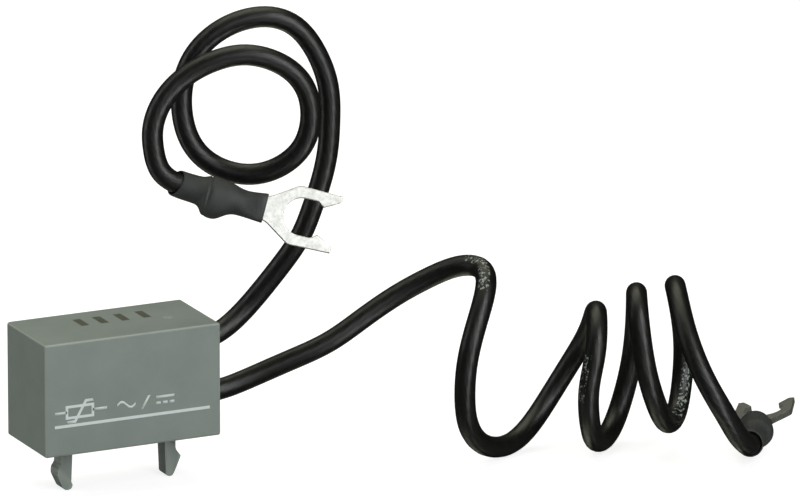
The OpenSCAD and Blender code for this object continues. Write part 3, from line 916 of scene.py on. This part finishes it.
# %% Floor
FLOOR, FLOOR_HALF = -6.51 * MM, 6
bm = bmesh.new()
bmesh.ops.create_grid(bm, x_segments=1, y_segments=1, size=FLOOR_HALF)
bmesh.ops.translate(bm, vec=(0, 0, FLOOR), verts=bm.verts)
sheet = bpy.data.meshes.new("floor")
bm.to_mesh(sheet)
bm.free()
floor = bpy.data.objects.new("floor", sheet)
bpy.context.collection.objects.link(floor)
print("floor at", round(FLOOR * 1000, 2), "mm")

# %% Material of the floor
# the sheet is polished for reflections beyond these distances from a place in front of the block
POLISHED_FROM, MATT_TO, MATT_MIDDLE = 0.045, 0.02, (0.01, -0.02, FLOOR)
paper, tree, shader = material("matt_paper_white")
tree.nodes.remove(shader)
path = add(tree, "LightPath").outputs
pale, dim = linear("#A8A8A8"), linear("#585858")
sheet_colour = add(tree, "MixRGB", {0: path["Is Glossy Ray"], 1: pale, 2: dim}).outputs[0]
soft = add(tree, "BsdfDiffuse", {"Color": sheet_colour}).outputs[0]
seen = add(tree, "Math", {0: path["Is Camera Ray"], 1: 0.8}, operation="MULTIPLY").outputs[0]
glow = add(tree, "Emission", {"Color": (1, 1, 1, 1), "Strength": seen}).outputs[0]
both = add(tree, "AddShader", {0: soft, 1: glow}).outputs[0]
place = add(tree, "TexCoord").outputs["Object"]
away = add(tree, "VectorMath", {0: place, 1: MATT_MIDDLE}, operation="DISTANCE").outputs["Value"]
far = add(tree, "MapRange", {0: away, 1: MATT_TO, 2: POLISHED_FROM}).outputs[0]
far = add(tree, "Math", {0: far, 1: path["Is Glossy Ray"]}, operation="MULTIPLY").outputs[0]
gloss = add(tree, "BsdfGlossy", {"Color": linear("#D8D8D8"), "Roughness": 0.1}).outputs[0]
either = add(tree, "MixShader", {0: far, 1: both, 2: gloss}).outputs[0]
tree.links.new(either, tree.nodes["Material Output"].inputs[0])
sheet.materials.append(paper)
print("material", paper.name)

# %% World
# the world's strength for light on the object, and for what a reflection shows
LIT, MIRRORED = 0.26, 0.02
world = bpy.data.worlds.new("studio")
bpy.context.scene.world = world
world.use_nodes = True
tree = world.node_tree
sky = tree.nodes["Background"]
path = add(tree, "LightPath").outputs
shown = {0: path["Is Camera Ray"], 1: path["Is Transmission Ray"]}
shown = add(tree, "Math", shown, operation="MAXIMUM").outputs[0]
mirrored = {0: path["Is Glossy Ray"], 1: MIRRORED - LIT, 2: LIT}
mirrored = add(tree, "Math", mirrored, operation="MULTIPLY_ADD").outputs[0]
power = add(tree, "Math", {0: shown, 1: mirrored}, operation="MAXIMUM").outputs[0]
tree.links.new(power, sky.inputs["Strength"])
sky.inputs["Color"].default_value = (1, 1, 1, 1)
print("world", world.name)

# %% [markdown]
# ## The lamps
# Four soft lamps light the object, as in a small product studio.
# A lamp is given by its radiance, not its power.
# So its size can change without its brightness on a shiny surface changing with it.
# Most light falls from the overhead lamp, on the top of the block and the upper sides of the leads.
# The front lamp is small, and stands where the upper fork mirrors it to the camera, so that the tin shines.
# Two tall narrow boxes on the left and the right draw the long highlights along the leads.

# %% Lamps


def lamp(name, azimuth, elevation, far, wide, high, radiance, colour="#FFFFFF"):
    data = bpy.data.lights.new(name, "AREA")
    data.shape = "RECTANGLE"
    data.size, data.size_y = wide, high
    data.energy = radiance * math.pi * wide * high
    data.color = linear(colour)[:3]
    set_up(bpy.data.objects.new(name, data), towards(azimuth, elevation), far)
    print("lamp", name, round(data.energy, 2), "W")


# name, azimuth, elevation, distance, width and height in metres, radiance, colour
lamp("overhead", 180, 74, 0.6, 0.6, 0.6, 2.05, "#FAF9E3")
lamp("front", 17, 22, 0.8, 0.35, 0.29, 2.08)
lamp("box_right", -16, 20, 0.7, 0.2, 0.9, 7.6, "#FBFFFB")
lamp("box_left", 112, 20, 0.7, 0.16, 0.9, 3.1, "#FBFFFB")
